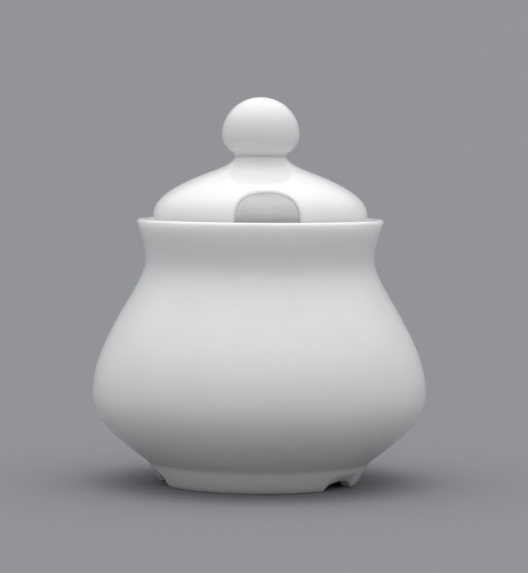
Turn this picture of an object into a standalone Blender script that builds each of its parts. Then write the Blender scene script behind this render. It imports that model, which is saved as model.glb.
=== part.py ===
"""Glazed porcelain sugar bowl: a bellied bowl on a foot ring, a loose domed lid with a spoon notch, a ball knob.

Metres, +Z up. The origin is on the turning axis, on the surface that the foot ring stands on.
-Y is the front, which the spoon notch in the lid faces. An outline is half a section: points (radius, height).
"""

import math

import bmesh
import bpy
from mathutils import Matrix, Vector
from mathutils.geometry import interpolate_bezier

# Turning
SEGMENTS = 48
KNOB_SEGMENTS = 32
TOUCH_GAP = 0.0003

# Bowl, outside
FOOT_RADIUS = 0.0300
FOOT_LAND = 0.0025
FOOT_EDGE = 0.0006
FOOT_TOP = (0.0324, 0.0046)
BODY_START = (0.0341, 0.00705)
BODY_START_SLOPE = 36.0
BELLY_RADIUS = 0.0500
BELLY_HEIGHT = 0.02735
NECK_RADIUS = 0.0344
NECK_HEIGHT = 0.0665
FLARE_START_HEIGHT = 0.0675
RIM_RADIUS = 0.0369
RIM_TOP = 0.0790
RIM_ROUNDING = 0.0008

# Bowl, inside
BOWL_WALL = 0.0034
FLOOR_HEIGHT = 0.0069
BASE_UNDERSIDE = 0.0034
LEDGE_HEIGHT = 0.0761
RECESS_RADIUS = 0.0333
THROAT_RADIUS = 0.0296
THROAT_LENGTH = 0.0027
EDGE_ROUNDING = 0.0006

# Drain notches across the foot ring, as turns about the axis from the front
FOOT_NOTCH_WIDTH = 0.0140
FOOT_NOTCH_HEIGHT = 0.0024
FOOT_NOTCH_TURNS = (49.5, 164.0, 278.5)

# Lid
LID_RADIUS = 0.0321
LID_WIDEST_HEIGHT = 0.0797
LID_WALL = 0.0032
LID_EDGE_RADIUS = 0.0315
SHOULDER = (0.0140, 0.0935)
SHOULDER_SLOPE = 20.4
COLLAR_RADIUS = 0.0289
COLLAR_WALL = 0.0024
COLLAR_DEPTH = 0.0053
STEM_RADIUS = 0.0078
STEM_TOP = 0.0978
BORE_RADIUS = 0.0042

# Spoon notch through the front of the lid: a squarish arch over straight sides
SPOON_NOTCH_HALF_WIDTH = 0.0094
SPOON_NOTCH_RISE = 0.0086
SPOON_NOTCH_SPRING = 0.0785
SPOON_NOTCH_SQUARENESS = 2.5

# Knob: a ball that is flatter underneath than on top
KNOB_RADIUS = 0.01162
KNOB_WIDEST_HEIGHT = 0.10425
KNOB_RISE = 0.0112
KNOB_DROP = 0.0082
KNOB_WALL = 0.0028
KNOB_FILLET_END = -35.0


# ---------------------------------------------------------------- outlines


def polar(length, degrees):
    """Step of this length in the section plane, at this angle above the outward direction."""
    return Vector((length * math.cos(math.radians(degrees)), length * math.sin(math.radians(degrees))))


def bend(start, leave, arrive, end, steps):
    """Bezier stretch with handles at start + leave and end + arrive, without its first point."""
    start, end = Vector(start), Vector(end)
    flat = [start, start + Vector(leave), end + Vector(arrive), end]
    return [point.to_2d() for point in interpolate_bezier(*flat, steps + 1)[1:]]


def arc(centre, radius, from_degrees, to_degrees, steps, height=None):
    """Points on a circle, or on an ellipse with this half height, ends included."""
    height = radius if height is None else height
    angles = [math.radians(from_degrees + (to_degrees - from_degrees) * i / steps) for i in range(steps + 1)]
    return [Vector((centre[0] + radius * math.cos(a), centre[1] + height * math.sin(a))) for a in angles]


def offset(points, distance):
    """The same curve moved to the left of its direction of travel."""
    moved = []
    for index, point in enumerate(points):
        ahead = points[min(index + 1, len(points) - 1)] - points[max(index - 1, 0)]
        ahead.normalize()
        moved.append(point + Vector((-ahead.y, ahead.x)) * distance)
    return moved


def belly_curve():
    """Outer face of the bowl from the foot, round the belly, up to the neck."""
    widest = (BELLY_RADIUS, BELLY_HEIGHT)
    lower = bend(BODY_START, polar(0.0131, BODY_START_SLOPE), (0, -0.0076), widest, 6)
    upper = bend(widest, (0, 0.0160), (0, -0.0076), (NECK_RADIUS, NECK_HEIGHT), 9)
    return [Vector(BODY_START)] + lower + upper


def bowl_outline():
    """From the axis under the base, round the outside and over the rim, to the axis on the inner floor."""
    foot_inner = FOOT_RADIUS - FOOT_EDGE - FOOT_LAND
    points = [Vector((0, BASE_UNDERSIDE)), Vector((0.0215, BASE_UNDERSIDE - 0.0002))]
    points += bend(points[-1], (0.0025, 0), (-0.0005, 0.0010), (foot_inner - FOOT_EDGE, FOOT_EDGE), 3)
    points += [Vector((foot_inner, 0)), Vector((foot_inner + FOOT_LAND, 0)), Vector((FOOT_RADIUS, FOOT_EDGE))]

    # Outside: foot wall, body, neck, flare, lip
    points += [Vector(FOOT_TOP)]
    body = belly_curve()
    points += bend(points[-1], polar(0.0013, 62), polar(-0.0013, BODY_START_SLOPE), body[0], 3)
    points += body[1:]
    points += [Vector((NECK_RADIUS, FLARE_START_HEIGHT))]
    lip_centre = (RIM_RADIUS - RIM_ROUNDING, RIM_TOP - RIM_ROUNDING)
    lip = arc(lip_centre, RIM_ROUNDING, -40, 90, 4)
    points += bend(points[-1], (0, 0.0033), polar(-0.0030, 72), lip[0], 6)
    points += lip[1:]

    # Inside: rim land, recess wall, ledge that carries the lid, throat
    land_end = RIM_TOP - 0.0001
    points += arc((RECESS_RADIUS + EDGE_ROUNDING, land_end - EDGE_ROUNDING), EDGE_ROUNDING, 90, 180, 2)
    points += arc((RECESS_RADIUS - EDGE_ROUNDING, LEDGE_HEIGHT + EDGE_ROUNDING), EDGE_ROUNDING, 0, -90, 2)
    points += arc((THROAT_RADIUS + EDGE_ROUNDING, LEDGE_HEIGHT - EDGE_ROUNDING), EDGE_ROUNDING, 90, 180, 2)
    points += [Vector((THROAT_RADIUS, LEDGE_HEIGHT - THROAT_LENGTH))]

    # Inside: the body's own curve set in by the wall, then the floor
    inner = list(reversed(offset(body, BOWL_WALL)))
    points += bend(points[-1], (0, -0.0030), (0, 0.0025), inner[0], 3)
    points += inner[1:]
    points += bend(points[-1], polar(-0.0035, BODY_START_SLOPE), (0.0160, 0), (0, FLOOR_HEIGHT), 4)
    return points


def lid_outline():
    """Closed ring of points: up the outside from the seat to the stem, down the bore, the underside, the collar."""
    seat = LEDGE_HEIGHT + TOUCH_GAP
    widest = Vector((LID_RADIUS, LID_WIDEST_HEIGHT))
    shoulder = Vector(SHOULDER)

    # Outside: edge, dome, hollow curve up to the stem
    points = [Vector((LID_EDGE_RADIUS - 0.0006, seat)), Vector((LID_EDGE_RADIUS, seat + 0.0006))]
    points += bend(points[-1], (0.0003, 0.0008), (0, -0.0012), widest, 2)
    dome = [widest] + bend(widest, (0, 0.0046), polar(0.0154, -SHOULDER_SLOPE), shoulder, 9)
    points += dome[1:]
    stem_start = polar(-0.0036, -SHOULDER_SLOPE)
    points += bend(shoulder, stem_start, (0, -0.0018), (STEM_RADIUS, STEM_TOP), 5)

    # Bore into the knob, then the underside of the dome
    underside = list(reversed(offset(dome, LID_WALL)))
    points += [Vector((BORE_RADIUS, STEM_TOP)), Vector((BORE_RADIUS, STEM_TOP - 0.0040))]
    points += bend(points[-1], (0, -0.0020), (-0.0035, 0.0012), underside[0], 3)
    points += [point for point in underside[1:] if point.y > LID_WIDEST_HEIGHT + 0.0045]

    # Collar that keeps the lid from sliding off its ledge
    collar_inner = COLLAR_RADIUS - COLLAR_WALL
    collar_bottom = seat - COLLAR_DEPTH
    points += bend(points[-1], (0.0013, -0.0013), (0, 0.0025), (collar_inner, seat + 0.0005), 3)
    points += [Vector((collar_inner, collar_bottom + 0.0005)), Vector((collar_inner + 0.0005, collar_bottom))]
    points += [Vector((COLLAR_RADIUS - 0.0005, collar_bottom)), Vector((COLLAR_RADIUS, collar_bottom + 0.0005))]
    points += [Vector((COLLAR_RADIUS, seat))]
    return points


def knob_outline():
    """From the axis at the top of the hollow, down inside to the bore, across the seam, up the outside of the ball."""
    ball = (0, KNOB_WIDEST_HEIGHT)
    seam = STEM_TOP + TOUCH_GAP
    hollow = KNOB_RADIUS - KNOB_WALL
    bore_angle = -math.degrees(math.acos(BORE_RADIUS / hollow))
    points = arc(ball, hollow, 90, 0, 5, height=KNOB_RISE - KNOB_WALL)
    points += arc(ball, hollow, 0, bore_angle, 4, height=KNOB_DROP - KNOB_WALL)[1:]
    points += [Vector((BORE_RADIUS, seam)), Vector((STEM_RADIUS, seam))]
    underside = arc(ball, KNOB_RADIUS, KNOB_FILLET_END, 0, 3, height=KNOB_DROP)
    points += bend(points[-1], (0, 0.0010), polar(-0.0012, 45), underside[0], 2)
    points += underside[1:]
    points += arc(ball, KNOB_RADIUS, 0, 90, 7, height=KNOB_RISE)[1:]
    points[0].x = points[-1].x = 0
    return points


# ---------------------------------------------------------------- solids


def porcelain(name, colour, roughness):
    material = bpy.data.materials.new(name)
    material.use_nodes = True
    shader = material.node_tree.nodes["Principled BSDF"]
    shader.inputs["Base Color"].default_value = (*colour, 1)
    shader.inputs["Roughness"].default_value = roughness
    shader.inputs["Metallic"].default_value = 0
    return material


def add_object(name, mesh_builder, material):
    mesh = bpy.data.meshes.new(name)
    mesh_builder.to_mesh(mesh)
    mesh_builder.free()
    mesh.materials.append(material)
    mesh.shade_smooth()
    mesh.set_sharp_from_angle(angle=math.radians(35))
    piece = bpy.data.objects.new(name, mesh)
    bpy.context.scene.collection.objects.link(piece)
    return piece


def turned(name, outline, segments, material, closed):
    """Solid of revolution about Z. A closed outline is a ring clear of the axis, an open one starts and ends on it."""
    bm = bmesh.new()
    verts = [bm.verts.new((point.x, 0, point.y)) for point in outline]
    pairs = list(zip(verts, verts[1:]))
    if closed:
        pairs.append((verts[-1], verts[0]))
    edges = [bm.edges.new(pair) for pair in pairs]
    bmesh.ops.spin(
        bm, geom=verts + edges, cent=(0, 0, 0), axis=(0, 0, 1), angle=math.tau, steps=segments, use_merge=True
    )
    bmesh.ops.remove_doubles(bm, verts=bm.verts, dist=1e-6)
    bmesh.ops.recalc_face_normals(bm, faces=bm.faces)
    return add_object(name, bm, material)


def add_prism(bm, outline, near, far, turn):
    """Closed prism of an (across, height) outline, running outward along -Y from near to far, turned about Z."""
    ends = [[bm.verts.new((point.x, -away, point.y)) for point in outline] for away in (near, far)]
    bm.faces.new(ends[0])
    bm.faces.new(reversed(ends[1]))
    for index in range(len(outline)):
        after = (index + 1) % len(outline)
        bm.faces.new((ends[0][index], ends[1][index], ends[1][after], ends[0][after]))
    spun = Matrix.Rotation(math.radians(turn), 4, "Z")
    bmesh.ops.transform(bm, matrix=spun, verts=ends[0] + ends[1])


def arch(half_width, rise, spring_height, floor_height, steps, squareness=2.0):
    """Outline of an arch over straight sides that go down to floor_height. At squareness 2 it is half an ellipse."""
    curve = []
    for unit in arc((0, 0), 1, 0, 180, steps):
        across = math.copysign(abs(unit.x) ** (2 / squareness), unit.x)
        above = abs(unit.y) ** (2 / squareness)
        curve.append(Vector((half_width * across, spring_height + rise * above)))
    return [Vector((half_width, floor_height))] + curve + [Vector((-half_width, floor_height))]


def cutter(name, prisms, piece, material):
    """Cuts the prisms out of the piece, leaving them as one hidden guide object."""
    bm = bmesh.new()
    for prism in prisms:
        add_prism(bm, *prism)
    bmesh.ops.recalc_face_normals(bm, faces=bm.faces)
    tool = add_object(name, bm, material)
    tool.hide_render = True
    tool.display_type = "WIRE"
    cut = piece.modifiers.new(name, "BOOLEAN")
    cut.operation = "DIFFERENCE"
    cut.solver = "EXACT"
    cut.object = tool


# ---------------------------------------------------------------- pieces


def make_bowl():
    glaze = porcelain("bowl_glaze", (0.86, 0.86, 0.85), 0.18)
    bowl = turned("bowl", bowl_outline(), SEGMENTS, glaze, closed=False)
    hole = arch(FOOT_NOTCH_WIDTH / 2, FOOT_NOTCH_HEIGHT, 0, -0.001, 10)
    reach = (FOOT_RADIUS - 0.0080, FOOT_RADIUS + 0.0050)
    prisms = [(hole, *reach, turn) for turn in FOOT_NOTCH_TURNS]
    cutter("foot_notch_guide", prisms, bowl, glaze)


def make_lid():
    glaze = porcelain("lid_glaze", (0.87, 0.87, 0.86), 0.17)
    lid = turned("lid", lid_outline(), SEGMENTS, glaze, closed=True)
    size = (SPOON_NOTCH_HALF_WIDTH, SPOON_NOTCH_RISE, SPOON_NOTCH_SPRING)
    hole = arch(*size, LEDGE_HEIGHT - 0.0100, 16, squareness=SPOON_NOTCH_SQUARENESS)
    prisms = [(hole, 0.0150, RIM_RADIUS, 0)]
    cutter("spoon_notch_guide", prisms, lid, glaze)


def make_knob():
    glaze = porcelain("knob_glaze", (0.87, 0.87, 0.86), 0.16)
    turned("knob", knob_outline(), KNOB_SEGMENTS, glaze, closed=False)


def main():
    for old in list(bpy.data.objects):
        bpy.data.objects.remove(old, do_unlink=True)
    make_bowl()
    make_lid()
    make_knob()


main()
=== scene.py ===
import math

import bmesh
import bpy
import numpy as np
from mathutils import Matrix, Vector
from mathutils.geometry import interpolate_bezier


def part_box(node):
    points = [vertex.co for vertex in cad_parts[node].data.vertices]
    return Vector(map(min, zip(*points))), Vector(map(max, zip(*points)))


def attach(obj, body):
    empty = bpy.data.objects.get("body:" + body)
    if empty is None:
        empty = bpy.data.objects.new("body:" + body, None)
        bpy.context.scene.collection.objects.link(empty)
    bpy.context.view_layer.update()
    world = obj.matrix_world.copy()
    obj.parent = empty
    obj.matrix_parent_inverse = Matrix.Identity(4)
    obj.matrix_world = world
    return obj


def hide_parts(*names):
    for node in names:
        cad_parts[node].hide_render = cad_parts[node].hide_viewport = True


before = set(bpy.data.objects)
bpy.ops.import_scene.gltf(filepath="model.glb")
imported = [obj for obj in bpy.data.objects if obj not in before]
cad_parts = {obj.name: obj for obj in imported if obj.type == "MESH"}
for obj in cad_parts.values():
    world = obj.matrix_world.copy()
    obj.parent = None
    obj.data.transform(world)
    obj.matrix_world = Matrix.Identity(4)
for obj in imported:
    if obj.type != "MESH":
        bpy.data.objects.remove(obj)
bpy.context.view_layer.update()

# ---------------------------------------------------------------- sizes, in metres, as the frame has them
# An outline is half a section through the turning axis: points (radius, height).

BOWL_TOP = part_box("bowl")[1]
LID_LOW, LID_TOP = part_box("lid")
KNOB_LOW, KNOB_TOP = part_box("knob")

BELLY_RADIUS = BOWL_TOP.x
RIM_TOP = BOWL_TOP.z
LID_RADIUS = LID_TOP.x
KNOB_RADIUS = KNOB_TOP.x
SEAM_HEIGHT = (LID_TOP.z + KNOB_LOW.z) / 2
TOUCH_GAP = KNOB_LOW.z - LID_TOP.z

# Bowl, outside
FOOT_RADIUS = 0.0300
FOOT_LAND = 0.0025
FOOT_EDGE = 0.0006
FOOT_TOP = (0.0324, 0.0046)
BODY_START = (0.0341, 0.00705)
BODY_START_SLOPE = 36.0
BELLY_HEIGHT = 0.02735
NECK_RADIUS = 0.0344
NECK_HEIGHT = 0.0665
FLARE_START_HEIGHT = 0.0675
RIM_RADIUS = 0.0369
RIM_ROUNDING = 0.0008
RIM_FALL = 0.0001

# Bowl, inside and underneath
BOWL_WALL = 0.0034
FLOOR_HEIGHT = 0.0069
BASE_UNDERSIDE = 0.0034
BASE_RADIUS = 0.0215
BASE_FALL = 0.0002
LEDGE_HEIGHT = 0.0761
RECESS_RADIUS = 0.0333
THROAT_RADIUS = 0.0296
THROAT_LENGTH = 0.0027
EDGE_ROUNDING = 0.0006

# Drain notches across the foot ring, as turns in degrees about the axis from the front. What is further out
# than FOOT_RING_INSIDE, and lower than FOOT_TOP, is the ring.
FOOT_NOTCH_WIDTH = 0.0140
FOOT_NOTCH_HEIGHT = 0.0024
FOOT_NOTCH_TURNS = (49.5, 164.0, 278.5)
FOOT_RING_INSIDE = 0.0220

# Lid
LID_WIDEST_HEIGHT = 0.0797
LID_WALL = 0.0032
LID_EDGE_RADIUS = 0.0315
LID_EDGE_ROUNDING = 0.0007
SHOULDER = (0.0140, 0.0935)
SHOULDER_SLOPE = 20.4
COLLAR_RADIUS = 0.0289
COLLAR_WALL = 0.0024
COLLAR_DEPTH = 0.0053
COLLAR_END_FLAT = 0.0004
COLLAR_FILLET = 0.0004
COLLAR_RISE = 0.0045
STEM_RADIUS = 0.0078
BORE_RADIUS = 0.0042
BORE_LENGTH = 0.0040

# Spoon notch: a squarish arch over straight sides, with rounded glazed edges. The block that cuts it has its
# back end at this Y and reaches this far below the lid.
SPOON_NOTCH_HALF_WIDTH = 0.0094
SPOON_NOTCH_RISE = 0.0086
SPOON_NOTCH_SPRING = 0.0785
SPOON_NOTCH_SQUARENESS = 2.5
SPOON_NOTCH_ROUNDING = 0.0017
NOTCH_BLOCK_BACK = -0.0150
NOTCH_BLOCK_DROP = 0.0050

# Knob
KNOB_WIDEST_HEIGHT = 0.10425
KNOB_RISE = KNOB_TOP.z - KNOB_WIDEST_HEIGHT
KNOB_DROP = 0.0082
KNOB_WALL = 0.0028
KNOB_FILLET_END = -35.0

# The knob's edge laps over the stem, so that no gap shows at the seam: how far down, out past the stem and in
SEAM_LAP = 0.00025
SEAM_LAP_OUT = 0.00002
SEAM_LAP_IN = 0.0004

# Heights of the points that a surface is judged to face towards or away from
BOWL_CENTRE = 0.0400
LID_CENTRE = 0.0740

# Porcelain: colours, ranges of roughness, heights of relief, and how deep light runs into it, in metres
PORCELAIN_IOR = 1.5
GLAZE_COLOUR = (0.870, 0.864, 0.855)
GLAZE_POOLED = (0.853, 0.847, 0.839)
GLAZE_ROUGHNESS = (0.075, 0.125)
GLAZE_PEEL = 0.000012
BARE_COLOUR = (0.80, 0.79, 0.77)
BARE_SHADE = (0.70, 0.69, 0.67)
BARE_ROUGHNESS = (0.55, 0.75)
BARE_GRAIN = 0.00004
DEPTH_OUTSIDE = 0.006
DEPTH_INSIDE = 0.070

# Shares of the way from DEPTH_OUTSIDE to DEPTH_INSIDE: on most inner walls, and where light would be lost
PLAIN_INSIDE = 0.26
SHALLOW = -0.088

# Heights between which the inner walls' share goes from PLAIN_INSIDE to 1, towards the lid's edge
BOWL_INSIDE_CHANGE = (0.066, 0.072)
LID_INSIDE_CHANGE = (0.080, 0.086)

# Distances between which the shallow stretches fade: from the seam, and into the spoon notch's outline
SEAM_FADE = (0.0010, 0.0028)
NOTCH_FADE = (-0.0035, -0.0015)

# The middle of a noise's range, where most of its values lie: it is stretched to the whole for more contrast.
NOISE_MIDDLE = (0.35, 0.65)
GRAIN_MIDDLE = (0.3, 0.7)

# Fineness
BOWL_SEGMENTS = 256
LID_SEGMENTS = 160
KNOB_SEGMENTS = 128
FINER = 4
LONGEST_STEP = 0.0012
NOTCH_ARCH_STEPS = 32
VOXEL = 0.0004
SHARP_DEGREES = 40


# ---------------------------------------------------------------- outlines


def polar(length, degrees):
    """A step of this length, at this angle above level."""
    return Vector((length * math.cos(math.radians(degrees)), length * math.sin(math.radians(degrees))))


def bend(start, leave, arrive, end, steps):
    """Bezier stretch with handles at start + leave and end + arrive, without its first point."""
    start, end = Vector(start), Vector(end)
    controls = [start, start + Vector(leave), end + Vector(arrive), end]
    return [point.to_2d() for point in interpolate_bezier(*controls, steps * FINER + 1)[1:]]


def arc(centre, radius, from_degrees, to_degrees, steps, height=None):
    """Points on a circle, or on an ellipse with this half height, ends included."""
    height = radius if height is None else height
    count = steps * FINER
    angles = [math.radians(from_degrees + (to_degrees - from_degrees) * i / count) for i in range(count + 1)]
    return [Vector((centre[0] + radius * math.cos(a), centre[1] + height * math.sin(a))) for a in angles]


def offset(points, distance):
    """The same curve moved to the left of its direction of travel."""
    moved = []
    for index, point in enumerate(points):
        ahead = points[min(index + 1, len(points) - 1)] - points[max(index - 1, 0)]
        ahead.normalize()
        moved.append(point + Vector((-ahead.y, ahead.x)) * distance)
    return moved


def spread(points, longest):
    """The outline with long straight steps divided, so that its facets are even."""
    result = [points[0]]
    for before, after in zip(points, points[1:]):
        count = max(1, math.ceil((after - before).length / longest))
        result += [before.lerp(after, (i + 1) / count) for i in range(count)]
    return result


def belly_curve():
    widest = (BELLY_RADIUS, BELLY_HEIGHT)
    lower = bend(BODY_START, polar(0.0131, BODY_START_SLOPE), (0, -0.0076), widest, 6)
    upper = bend(widest, (0, 0.0160), (0, -0.0076), (NECK_RADIUS, NECK_HEIGHT), 9)
    return [Vector(BODY_START)] + lower + upper


def bowl_outline():
    """From the axis under the base, round the outside and over the rim, to the axis on the inner floor."""
    land_inner = FOOT_RADIUS - FOOT_EDGE - FOOT_LAND
    land_outer = land_inner + FOOT_LAND
    points = [Vector((0, BASE_UNDERSIDE)), Vector((BASE_RADIUS, BASE_UNDERSIDE - BASE_FALL))]
    inner_edge = arc((land_inner, FOOT_EDGE), FOOT_EDGE, 200, 270, 2)
    points += bend(points[-1], (0.0025, 0), (-0.0005, 0.0010), inner_edge[0], 3)
    points += inner_edge[1:]
    points += arc((land_outer, FOOT_EDGE), FOOT_EDGE, 270, 330, 2)

    # Outside: foot wall, body, neck, flare, lip
    body = belly_curve()
    points += bend(FOOT_TOP, polar(0.0013, 62), polar(-0.0013, BODY_START_SLOPE), body[0], 3)
    points += body[1:]
    points += [Vector((NECK_RADIUS, FLARE_START_HEIGHT))]
    lip_centre = (RIM_RADIUS - RIM_ROUNDING, RIM_TOP - RIM_ROUNDING)
    lip = arc(lip_centre, RIM_ROUNDING, -40, 90, 4)
    points += bend(points[-1], (0, 0.0033), polar(-0.0030, 72), lip[0], 8)
    points += lip[1:]

    # Inside: rim land, recess wall, ledge that carries the lid, throat
    land_end = RIM_TOP - RIM_FALL
    points += arc((RECESS_RADIUS + EDGE_ROUNDING, land_end - EDGE_ROUNDING), EDGE_ROUNDING, 90, 180, 2)
    points += arc((RECESS_RADIUS - EDGE_ROUNDING, LEDGE_HEIGHT + EDGE_ROUNDING), EDGE_ROUNDING, 0, -90, 2)
    points += arc((THROAT_RADIUS + EDGE_ROUNDING, LEDGE_HEIGHT - EDGE_ROUNDING), EDGE_ROUNDING, 90, 180, 2)
    points += [Vector((THROAT_RADIUS, LEDGE_HEIGHT - THROAT_LENGTH))]

    # Inside: the body's own curve set in by the wall, then the floor
    inner = list(reversed(offset(body, BOWL_WALL)))
    points += bend(points[-1], (0, -0.0030), (0, 0.0025), inner[0], 3)
    points += inner[1:]
    points += bend(points[-1], polar(-0.0035, BODY_START_SLOPE), (0.0160, 0), (0, FLOOR_HEIGHT), 4)
    return spread(points, LONGEST_STEP)


def lid_outline():
    """Ring of points: up the outside from the seat to the stem, down the bore, the underside, the collar."""
    seat = LEDGE_HEIGHT + TOUCH_GAP
    widest = Vector((LID_RADIUS, LID_WIDEST_HEIGHT))
    shoulder = Vector(SHOULDER)

    # Outside: edge, dome, hollow curve up to the stem
    edge_centre = (LID_EDGE_RADIUS - LID_EDGE_ROUNDING, seat + LID_EDGE_ROUNDING)
    points = arc(edge_centre, LID_EDGE_ROUNDING, -90, -10, 2)
    points += bend(points[-1], (0.0002, 0.0008), (0, -0.0012), widest, 2)
    dome = [widest] + bend(widest, (0, 0.0046), polar(0.0154, -SHOULDER_SLOPE), shoulder, 9)
    points += dome[1:]
    points += bend(shoulder, polar(-0.0036, -SHOULDER_SLOPE), (0, -0.0018), (STEM_RADIUS, SEAM_HEIGHT), 5)

    # Bore into the knob, then the underside of the dome
    underside = list(reversed(offset(dome, LID_WALL)))
    points += [Vector((BORE_RADIUS, SEAM_HEIGHT)), Vector((BORE_RADIUS, LID_TOP.z - BORE_LENGTH))]
    points += bend(points[-1], (0, -0.0020), (-0.0035, 0.0012), underside[0], 3)
    points += [point for point in underside[1:] if point.y > LID_WIDEST_HEIGHT + COLLAR_RISE]

    # Collar that keeps the lid from sliding off its ledge
    collar_inner = COLLAR_RADIUS - COLLAR_WALL
    collar_bottom = seat - COLLAR_DEPTH
    turn = (COLLAR_WALL - COLLAR_END_FLAT) / 2
    points += bend(points[-1], (0.0013, -0.0013), (0, 0.0025), (collar_inner, seat + 0.0005), 3)
    points += arc((collar_inner + turn, collar_bottom + turn), turn, 180, 270, 2)
    points += arc((COLLAR_RADIUS - turn, collar_bottom + turn), turn, -90, 0, 2)
    points += arc((COLLAR_RADIUS + COLLAR_FILLET, seat - COLLAR_FILLET), COLLAR_FILLET, 180, 90, 1)
    return spread(points, LONGEST_STEP)


def knob_outline():
    """From the axis at the top of the hollow, down inside to the bore, over the seam and up the outside."""
    ball = (0, KNOB_WIDEST_HEIGHT)
    hollow = KNOB_RADIUS - KNOB_WALL
    bore_angle = -math.degrees(math.acos(BORE_RADIUS / hollow))
    points = arc(ball, hollow, 90, 0, 5, height=KNOB_RISE - KNOB_WALL)
    points += arc(ball, hollow, 0, bore_angle, 4, height=KNOB_DROP - KNOB_WALL)[1:]
    lap_inner, lap_outer = STEM_RADIUS - SEAM_LAP_IN, STEM_RADIUS + SEAM_LAP_OUT
    points += [Vector((BORE_RADIUS, SEAM_HEIGHT)), Vector((lap_inner, SEAM_HEIGHT))]
    points += [Vector((radius, SEAM_HEIGHT - SEAM_LAP)) for radius in (lap_inner, lap_outer)]
    underside = arc(ball, KNOB_RADIUS, KNOB_FILLET_END, 0, 5, height=KNOB_DROP)
    points += bend(points[-1], (0, 0.0010), polar(-0.0012, 45), underside[0], 3)
    points += underside[1:]
    points += arc(ball, KNOB_RADIUS, 0, 90, 9, height=KNOB_RISE)[1:]
    points[0].x = points[-1].x = 0
    return points


# ---------------------------------------------------------------- meshes


def add_object(name, mesh, materials):
    for material in materials:
        mesh.materials.append(material)
    mesh.shade_smooth()
    mesh.set_sharp_from_angle(angle=math.radians(SHARP_DEGREES))
    piece = bpy.data.objects.new(name, mesh)
    bpy.context.scene.collection.objects.link(piece)
    return piece


def turned_mesh(name, outline, segments, closed=False):
    """Solid of revolution about Z. A closed outline is clear of the axis, an open one has its ends on it."""
    bm = bmesh.new()
    verts = [bm.verts.new((point.x, 0, point.y)) for point in outline]
    pairs = list(zip(verts, verts[1:]))
    if closed:
        pairs.append((verts[-1], verts[0]))
    edges = [bm.edges.new(pair) for pair in pairs]
    bmesh.ops.spin(
        bm, geom=verts + edges, cent=(0, 0, 0), axis=(0, 0, 1), angle=math.tau, steps=segments, use_merge=True
    )
    bmesh.ops.remove_doubles(bm, verts=bm.verts, dist=1e-7)
    bmesh.ops.recalc_face_normals(bm, faces=bm.faces)
    mesh = bpy.data.meshes.new(name)
    bm.to_mesh(mesh)
    bm.free()
    return mesh


def read_points(mesh):
    flat = np.empty(len(mesh.vertices) * 3, np.float32)
    mesh.vertices.foreach_get("co", flat)
    return flat.reshape(-1, 3).astype(np.float64)


def write_points(mesh, points):
    mesh.vertices.foreach_set("co", points.astype(np.float32).ravel())
    mesh.update()


def raise_foot_notches(mesh):
    """Lifts the foot ring's underside into a soft arch at each drain notch."""
    points = read_points(mesh)
    reach = FOOT_TOP[1]
    radius = np.hypot(points[:, 0], points[:, 1])
    turn = np.degrees(np.arctan2(points[:, 0], -points[:, 1]))
    lift = np.zeros(len(points))
    for notch in FOOT_NOTCH_TURNS:
        away = np.radians((turn - notch + 180) % 360 - 180) * radius / (FOOT_NOTCH_WIDTH / 2)
        lift = np.maximum(lift, FOOT_NOTCH_HEIGHT * np.sqrt(np.clip(1 - away**2, 0, 1)))
    ring = (points[:, 2] < reach) & (radius > FOOT_RING_INSIDE)
    squeezed = lift + points[:, 2] * (reach - lift) / reach
    points[:, 2] = np.where(ring, squeezed, points[:, 2])
    write_points(mesh, points)


def ring_distance(radius, height, ring):
    """Signed distance from points to a closed outline, negative inside it."""
    nearest = np.full(len(radius), np.inf)
    inside = np.zeros(len(radius), bool)
    for start, end in zip(ring, np.roll(ring, -1, axis=0)):
        step = end - start
        across, up = radius - start[0], height - start[1]
        along = np.clip((across * step[0] + up * step[1]) / (step @ step), 0, 1)
        nearest = np.minimum(nearest, (across - along * step[0]) ** 2 + (up - along * step[1]) ** 2)
        if step[1] != 0:
            inside ^= ((start[1] > height) != (end[1] > height)) & (across < up / step[1] * step[0])
    return np.where(inside, -1, 1) * np.sqrt(nearest)


def depth_in_notch(points):
    """How far points are inside the spoon notch's outline seen from the front, negative outside it."""
    power = SPOON_NOTCH_SQUARENESS
    across = np.maximum(np.abs(points[:, 0]), 1e-6) / SPOON_NOTCH_HALF_WIDTH
    above = np.maximum(points[:, 2] - SPOON_NOTCH_SPRING, 0) / SPOON_NOTCH_RISE
    reach = (across**power + above**power) ** (1 / power)
    slope_across = across ** (power - 1) / SPOON_NOTCH_HALF_WIDTH
    slope_up = above ** (power - 1) / SPOON_NOTCH_RISE
    depth = (1 - reach) * reach ** (power - 1) / np.hypot(slope_across, slope_up)
    return np.where(points[:, 1] < 0, depth, -1)


def lid_field(points, ring):
    """Signed distance to the lid with its spoon notch, whose edges are rounded."""
    shell = ring_distance(np.hypot(points[:, 0], points[:, 1]), points[:, 2], ring)
    hole = depth_in_notch(points)
    rounding = SPOON_NOTCH_ROUNDING
    past = np.hypot(np.maximum(shell + rounding, 0), np.maximum(hole + rounding, 0))
    return np.minimum(np.maximum(shell, hole), -rounding) + past


def settle_on_lid(mesh, ring):
    """Slides every point onto the exact lid surface, in a few rounds of Newton's method."""
    rounds, probe, least_slope = 4, 2e-5, 0.5
    points = read_points(mesh)
    for _ in range(rounds):
        value = lid_field(points, ring)
        beside = [lid_field(points + probe * axis, ring) for axis in np.eye(3)]
        slope = np.stack([(other - value) / probe for other in beside], axis=1)
        squared = np.maximum((slope**2).sum(axis=1), least_slope**2)
        points -= np.clip(value / squared, -VOXEL, VOXEL)[:, None] * slope
    write_points(mesh, points)


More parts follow.
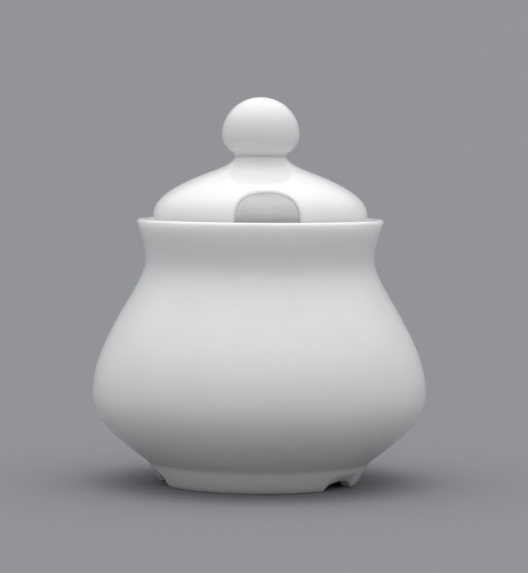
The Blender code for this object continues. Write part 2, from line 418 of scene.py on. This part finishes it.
def notch_arch(steps):
    """Points (across, height) along the spoon notch's arch, from right to left."""
    power = 2 / SPOON_NOTCH_SQUARENESS
    points = []
    for angle in np.linspace(0, math.pi, steps + 1):
        across = math.copysign(abs(math.cos(angle)) ** power, math.cos(angle))
        above = abs(math.sin(angle)) ** power
        points.append((SPOON_NOTCH_HALF_WIDTH * across, SPOON_NOTCH_SPRING + SPOON_NOTCH_RISE * above))
    return points


def notch_guide():
    """A block with the spoon notch's outline, through the front of the lid."""
    bottom = LID_LOW.z - NOTCH_BLOCK_DROP
    arch = notch_arch(NOTCH_ARCH_STEPS)
    arch = [(arch[0][0], bottom)] + arch + [(arch[-1][0], bottom)]
    bm = bmesh.new()
    back, front = [[bm.verts.new((x, y, z)) for x, z in arch] for y in (NOTCH_BLOCK_BACK, -RIM_RADIUS)]
    bm.faces.new(back)
    bm.faces.new(reversed(front))
    for index in range(len(arch)):
        after = (index + 1) % len(arch)
        bm.faces.new((back[index], front[index], front[after], back[after]))
    bmesh.ops.recalc_face_normals(bm, faces=bm.faces)
    mesh = bpy.data.meshes.new("spoon_notch_guide")
    bm.to_mesh(mesh)
    bm.free()
    return add_object("spoon_notch_guide", mesh, [])


def lid_mesh():
    """The turned lid with the spoon notch cut in its front, remeshed and settled on its exact surface."""
    outline = lid_outline()
    blank = add_object("lid_blank", turned_mesh("lid_blank", outline, LID_SEGMENTS, closed=True), [])
    guide = notch_guide()
    cut = blank.modifiers.new("notch", "BOOLEAN")
    cut.object = guide
    remesh = blank.modifiers.new("even", "REMESH")
    remesh.mode = "VOXEL"
    remesh.voxel_size = VOXEL
    bpy.context.view_layer.update()
    graph = bpy.context.evaluated_depsgraph_get()
    result = bpy.data.meshes.new_from_object(blank.evaluated_get(graph))
    result.name = "lid_ware"
    bpy.data.objects.remove(blank)
    bpy.data.objects.remove(guide)
    settle_on_lid(result, np.array([tuple(point) for point in outline]))
    return result


# ---------------------------------------------------------------- materials


def new_material(name):
    material = bpy.data.materials.new(name)
    material.use_nodes = True
    tree = material.node_tree
    return material, tree, tree.nodes["Principled BSDF"]


def noise(tree, place, scale, detail=3.0, roughness=0.5):
    """Noise in the piece's own space, so that it moves with the piece. The scale is in waves to the metre."""
    node = tree.nodes.new("ShaderNodeTexNoise")
    node.inputs["Scale"].default_value = scale
    node.inputs["Detail"].default_value = detail
    node.inputs["Roughness"].default_value = roughness
    tree.links.new(place.outputs["Object"], node.inputs["Vector"])
    return node.outputs["Fac"]


def between(tree, value, low, high, from_low=0.0, from_high=1.0, clamp=True):
    """A value mapped from its own range onto low to high, by default without running past them."""
    node = tree.nodes.new("ShaderNodeMapRange")
    node.clamp = clamp
    node.inputs["From Min"].default_value = from_low
    node.inputs["From Max"].default_value = from_high
    node.inputs["To Min"].default_value = low
    node.inputs["To Max"].default_value = high
    tree.links.new(value, node.inputs["Value"])
    return node.outputs["Result"]


def colour_mix(tree, factor):
    """A new mix of two colours: the first's input, the second's and the result."""
    node = tree.nodes.new("ShaderNodeMix")
    node.data_type = "RGBA"
    tree.links.new(factor, node.inputs[0])
    return node.inputs[6], node.inputs[7], node.outputs[2]


def mixed_colour(tree, factor, first, second):
    first_input, second_input, mixed = colour_mix(tree, factor)
    first_input.default_value = (*first, 1)
    second_input.default_value = (*second, 1)
    return mixed


def bumped(tree, height, distance):
    node = tree.nodes.new("ShaderNodeBump")
    node.inputs["Distance"].default_value = distance
    tree.links.new(height, node.inputs["Height"])
    return node.outputs["Normal"]


def glaze_material():
    """Clear glossy glaze over white, translucent porcelain."""
    material, tree, shader = new_material("porcelain_glaze")
    place = tree.nodes.new("ShaderNodeTexCoord")
    clouds = noise(tree, place, 55, detail=2)
    colour = mixed_colour(tree, between(tree, clouds, 0, 1, *NOISE_MIDDLE), GLAZE_COLOUR, GLAZE_POOLED)
    tree.links.new(colour, shader.inputs["Base Color"])

    # Gloss varies a little where the glaze ran thicker or thinner in the kiln.
    flow = noise(tree, place, 140, detail=4)
    tree.links.new(between(tree, flow, *GLAZE_ROUGHNESS, *NOISE_MIDDLE), shader.inputs["Roughness"])
    shader.inputs["IOR"].default_value = PORCELAIN_IOR

    # Light crosses the wall: what is seen of the inside has mostly come through it.
    shader.inputs["Subsurface Weight"].default_value = 1.0
    shader.inputs["Subsurface Radius"].default_value = (1.0, 1.0, 1.0)
    inside = tree.nodes.new("ShaderNodeAttribute")
    inside.attribute_name = "inside"
    depth = between(tree, inside.outputs["Fac"], DEPTH_OUTSIDE, DEPTH_INSIDE, clamp=False)
    tree.links.new(depth, shader.inputs["Subsurface Scale"])

    # Faint orange peel in the glaze
    peel = bumped(tree, noise(tree, place, 420, detail=1), GLAZE_PEEL)
    tree.links.new(peel, shader.inputs["Normal"])
    return material


def bare_material():
    """Unglazed porcelain where the ware stood in the kiln: the foot's land, the ledge and the lid's seat."""
    material, tree, shader = new_material("bare_porcelain")
    place = tree.nodes.new("ShaderNodeTexCoord")
    grain = noise(tree, place, 2600, detail=4, roughness=0.7)
    colour = mixed_colour(tree, grain, BARE_COLOUR, BARE_SHADE)
    tree.links.new(colour, shader.inputs["Base Color"])
    tree.links.new(between(tree, grain, *BARE_ROUGHNESS, *GRAIN_MIDDLE), shader.inputs["Roughness"])
    shader.inputs["IOR"].default_value = PORCELAIN_IOR
    tree.links.new(bumped(tree, grain, BARE_GRAIN), shader.inputs["Normal"])
    return material


# ---------------------------------------------------------------- pieces


def mark_inside(mesh, centre_height, heights=(0, 1), shares=(PLAIN_INSIDE, PLAIN_INSIDE), notched=False):
    """Marks how far light runs under each point: 0 outside, and a share by height where it faces the centre.
    It is SHALLOW at the seam under the knob and on the outside beside the spoon notch."""
    points = read_points(mesh)
    normals = np.empty(points.size, np.float32)
    mesh.vertices.foreach_get("normal", normals)
    outward = points - (0, 0, centre_height)
    outward /= np.maximum(np.linalg.norm(outward, axis=1), 1e-9)[:, None]

    # The cosine of the angle between the normal and the way out. What faces the centre squarely or nearly so is
    # wholly inside, what faces away is outside, and the change between them is gradual.
    facing = (outward * normals.reshape(-1, 3)).sum(axis=1)
    inside = np.clip(0.3 - 1.4 * facing, 0, 1)
    inside *= np.interp(points[:, 2], heights, shares)
    shallow = np.interp(np.abs(points[:, 2] - SEAM_HEIGHT), SEAM_FADE, (1, 0))
    if notched:
        beside_notch = np.interp(depth_in_notch(points), NOTCH_FADE, (0, 1))
        shallow = np.maximum(shallow, beside_notch * np.clip(2 * facing, 0, 0.9))
    inside += (SHALLOW - inside) * shallow
    layer = mesh.attributes.new("inside", "FLOAT", "POINT")
    layer.data.foreach_set("value", inside.astype(np.float32))


def leave_bare(mesh, low, high, inner, outer):
    """Gives the second material to faces whose centre lies between these heights and radii."""
    centres = np.empty(len(mesh.polygons) * 3, np.float32)
    mesh.polygons.foreach_get("center", centres)
    x, y, z = centres.reshape(-1, 3).T
    radius = np.hypot(x, y)
    bare = (z > low) & (z < high) & (radius > inner) & (radius < outer)
    slots = np.empty(len(mesh.polygons), np.int32)
    mesh.polygons.foreach_get("material_index", slots)
    mesh.polygons.foreach_set("material_index", np.where(bare, 1, slots).astype(np.int32))


def add_bowl(glaze, bare):
    mesh = turned_mesh("bowl_ware", bowl_outline(), BOWL_SEGMENTS)
    raise_foot_notches(mesh)
    mark_inside(mesh, BOWL_CENTRE, BOWL_INSIDE_CHANGE, (PLAIN_INSIDE, 1))
    bowl = add_object("bowl_ware", mesh, [glaze, bare])

    # The foot's land and the ledge, with small margins for their rounded edges
    leave_bare(mesh, -1, 0.0002, FOOT_RADIUS - FOOT_LAND - 2 * FOOT_EDGE, FOOT_RADIUS)
    leave_bare(mesh, LEDGE_HEIGHT - 0.0003, LEDGE_HEIGHT + 0.0004, THROAT_RADIUS, RECESS_RADIUS)
    return bowl


def add_lid(glaze, bare):
    mesh = lid_mesh()
    mark_inside(mesh, LID_CENTRE, LID_INSIDE_CHANGE, (1, PLAIN_INSIDE), notched=True)
    lid = add_object("lid_ware", mesh, [glaze, bare])

    # The seat, with small margins for its rounded edges
    seat = LEDGE_HEIGHT + TOUCH_GAP
    leave_bare(mesh, seat - 0.0004, seat + 0.0003, COLLAR_RADIUS + 0.0002, LID_RADIUS)
    return lid


def add_knob(glaze):
    mesh = turned_mesh("knob_ware", knob_outline(), KNOB_SEGMENTS)
    mark_inside(mesh, KNOB_WIDEST_HEIGHT)
    return add_object("knob_ware", mesh, [glaze])


def add_pieces():
    glaze, bare = glaze_material(), bare_material()
    pieces = (
        (add_bowl(glaze, bare), "bowl_body", "bowl"),
        (add_lid(glaze, bare), "lid_body", "lid"),
        (add_knob(glaze), "lid_body", "knob"),
    )
    for piece, body, node in pieces:
        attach(piece, body)
        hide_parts(node)


# ---------------------------------------------------------------- stage, light, camera

# The floor lies a hair below the frame's zero, where the foot stands.
FLOOR_COLOUR = (0.2237, 0.2307, 0.2446)
FLOOR_HALF_SIZE = 20
FLOOR_DROP = 0.00005

# The dome's brightness at these elevations, in degrees, in front of the object and behind it. Below the first
# elevation the dome keeps one tone: the front's first value, and the backdrop's colour behind.
ELEVATIONS = (20.0, 32.0, 46.0, 60.0, 72.0, 82.0, 90.0)
SKY_FRONT = (0.524, 0.948, 1.328, 1.664, 1.942, 2.140, 2.244)
SKY_BACK = (0.902, 1.409, 1.824, 2.102, 2.237, 2.244)
BACKDROP = (0.287, 0.296, 0.314)

# Camera, matched to the photo: metres and degrees, and the lens in millimetres
CAMERA_DISTANCE = 0.800
CAMERA_HEIGHT = 0.1035
CAMERA_AZIMUTH = -4.0
CAMERA_PITCH = -3.2
CAMERA_ROLL = -0.35
CAMERA_YAW = 0.069
CAMERA_LENS = 167.9


def add_stage():
    mesh = bpy.data.meshes.new("floor")
    half = FLOOR_HALF_SIZE
    corners = [(-half, -half, 0), (half, -half, 0), (half, half, 0), (-half, half, 0)]
    mesh.from_pydata(corners, [], [(0, 1, 2, 3)])
    material, _, shader = new_material("floor_paper")
    shader.inputs["Base Color"].default_value = (*FLOOR_COLOUR, 1)
    shader.inputs["Roughness"].default_value = 0.9
    shader.inputs["Specular IOR Level"].default_value = 0
    mesh.materials.append(material)
    floor = bpy.data.objects.new("floor", mesh)
    floor.location.z = -FLOOR_DROP
    bpy.context.scene.collection.objects.link(floor)


def computed(tree, kind, operation, value, other=None):
    """A Math or Vector Math node's result, from a socket and a constant."""
    node = tree.nodes.new(kind)
    node.operation = operation
    tree.links.new(value, node.inputs[0])
    if other is not None:
        node.inputs[1].default_value = other
    return node.outputs[0]


def separated(tree, vector):
    node = tree.nodes.new("ShaderNodeSeparateXYZ")
    tree.links.new(vector, node.inputs[0])
    return node.outputs


def sky_ramp(tree, height, colours):
    """Colours at ELEVATIONS, for a height that goes from 0 at eye level to 1 overhead."""
    node = tree.nodes.new("ShaderNodeValToRGB")
    elements = node.color_ramp.elements
    for elevation, colour in zip(ELEVATIONS[1:-1], colours[1:-1]):
        elements.new(elevation / 90).color = (*colour, 1)
    elements[0].position = ELEVATIONS[0] / 90
    elements[0].color = (*colours[0], 1)
    elements[-1].color = (*colours[-1], 1)
    tree.links.new(height, node.inputs[0])
    return node.outputs[0]


def add_world():
    """A studio dome: grey at eye level, and above ELEVATIONS[0] a smooth soft light, brighter overhead."""
    world = bpy.data.worlds.new("studio")
    world.use_nodes = True
    tree = world.node_tree
    background = tree.nodes["Background"]
    direction = tree.nodes.new("ShaderNodeTexCoord").outputs["Generated"]
    rise = computed(tree, "ShaderNodeMath", "ARCSINE", separated(tree, direction)["Z"])
    height = computed(tree, "ShaderNodeMath", "DIVIDE", rise, math.pi / 2)

    # A ramp holds values up to 1, so both hold shares of the brightest one.
    brightest = max(SKY_FRONT + SKY_BACK)
    shares_back = [Vector(BACKDROP) / brightest] + [Vector((value,) * 3) / brightest for value in SKY_BACK]
    shares_front = [Vector((value,) * 3) / brightest for value in SKY_FRONT]
    back = sky_ramp(tree, height, shares_back)
    front = sky_ramp(tree, height, shares_front)
    background.inputs["Strength"].default_value = brightest

    # From the back to the front by the compass direction alone
    level = computed(tree, "ShaderNodeVectorMath", "MULTIPLY", direction, (1, 1, 0))
    compass = computed(tree, "ShaderNodeVectorMath", "NORMALIZE", level)
    frontness = between(tree, separated(tree, compass)["Y"], 0, 1, from_low=1, from_high=-1)
    back_input, front_input, dome = colour_mix(tree, frontness)
    tree.links.new(back, back_input)
    tree.links.new(front, front_input)
    tree.links.new(dome, background.inputs["Color"])
    bpy.context.scene.world = world


def add_camera():
    data = bpy.data.cameras.new("camera")
    data.lens = CAMERA_LENS
    data.sensor_width = 36
    camera = bpy.data.objects.new("camera", data)
    turn = math.radians(CAMERA_AZIMUTH)
    camera.location = (math.sin(turn) * CAMERA_DISTANCE, -math.cos(turn) * CAMERA_DISTANCE, CAMERA_HEIGHT)
    camera.rotation_euler = (
        math.radians(90 + CAMERA_PITCH), math.radians(CAMERA_ROLL), math.radians(CAMERA_AZIMUTH - CAMERA_YAW)
    )
    bpy.context.scene.collection.objects.link(camera)
    bpy.context.scene.camera = camera


add_pieces()
add_stage()
add_world()
add_camera()
bpy.context.scene.view_settings.view_transform = "Standard"
